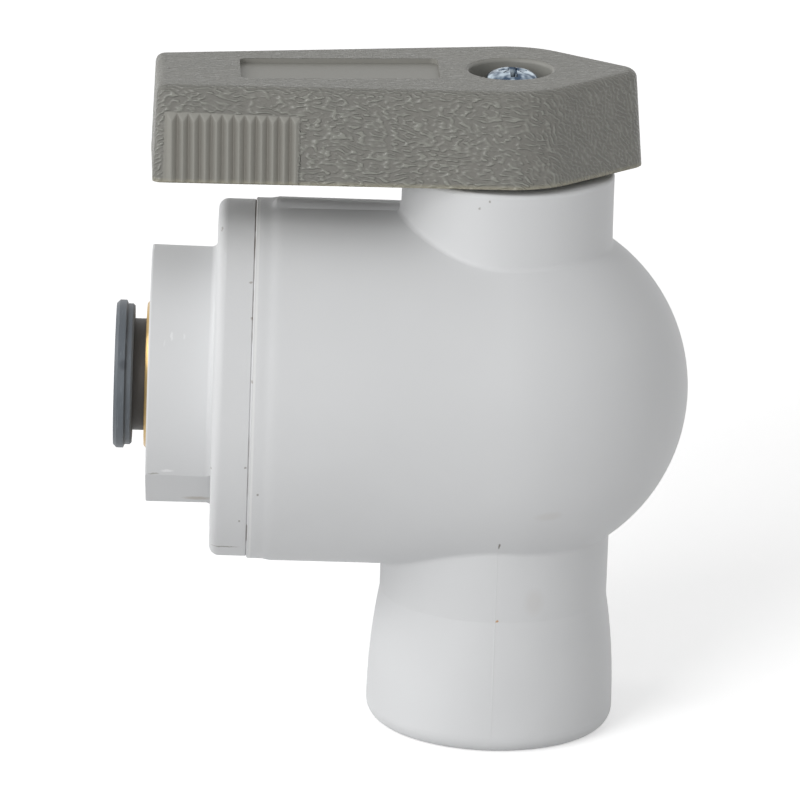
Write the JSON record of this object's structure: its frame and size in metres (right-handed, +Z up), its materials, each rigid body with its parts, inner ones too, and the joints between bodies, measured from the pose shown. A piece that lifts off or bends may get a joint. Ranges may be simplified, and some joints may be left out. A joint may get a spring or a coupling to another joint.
{
  "type": "elbow ball valve",
  "caption": "Elbow ball valve for tube: push-in tube socket on a horizontal barrel, flared outlet spout with a pipe thread below, quarter-turn lever on top.",
  "frame": {"origin": "centre of the outlet's bottom face, on the axis of its thread", "axes": "+Z up the outlet and the stem, +X the way the tube is pushed in, away from the inlet"},
  "size_m": [0.059, 0.0375, 0.0699],
  "materials": {
    "white_moulding": "satin",
    "grey_moulding": "grained",
    "slate_moulding": "satin",
    "ball_plastic": "gloss",
    "seat_plastic": "satin",
    "stem_plastic": "satin",
    "seal_rubber": "matte",
    "brass_ring": "turned",
    "stainless_teeth": "bright",
    "zinc_steel": "zinc plated"
  },
  "bodies": {
    "housing": {"valve_body": "white_moulding", "inlet_cap": "white_moulding", "cartridge_ring": "brass_ring", "inlet_seat": "seat_plastic", "back_seat": "seat_plastic", "inlet_seat_o_ring": "seal_rubber", "back_seat_o_ring": "seal_rubber", "cap_o_ring": "seal_rubber", "thrust_washer": "seat_plastic", "grip_ring": "stainless_teeth", "backup_ring": "seat_plastic", "tube_o_ring": "seal_rubber"},
    "lever": {"handle": "grey_moulding", "handle_screw": "zinc_steel", "stem": "stem_plastic", "stem_o_ring_lower": "seal_rubber", "stem_o_ring_upper": "seal_rubber", "ball": "ball_plastic"},
    "button": {"release_button": "slate_moulding"}
  },
  "joints": [
    {"name": "lever_turn", "type": "hinge", "parent": "housing", "child": "lever", "pos_m": [0, 0, 0.036], "axis": [0, 0, 1], "range_deg": [-1.6, 88.4]},
    {"name": "button_press", "type": "slide", "parent": "housing", "child": "button", "axis": [1, 0, 0], "range_m": [0, 0.0012], "stiffness_N_per_m": 300}
  ]
}
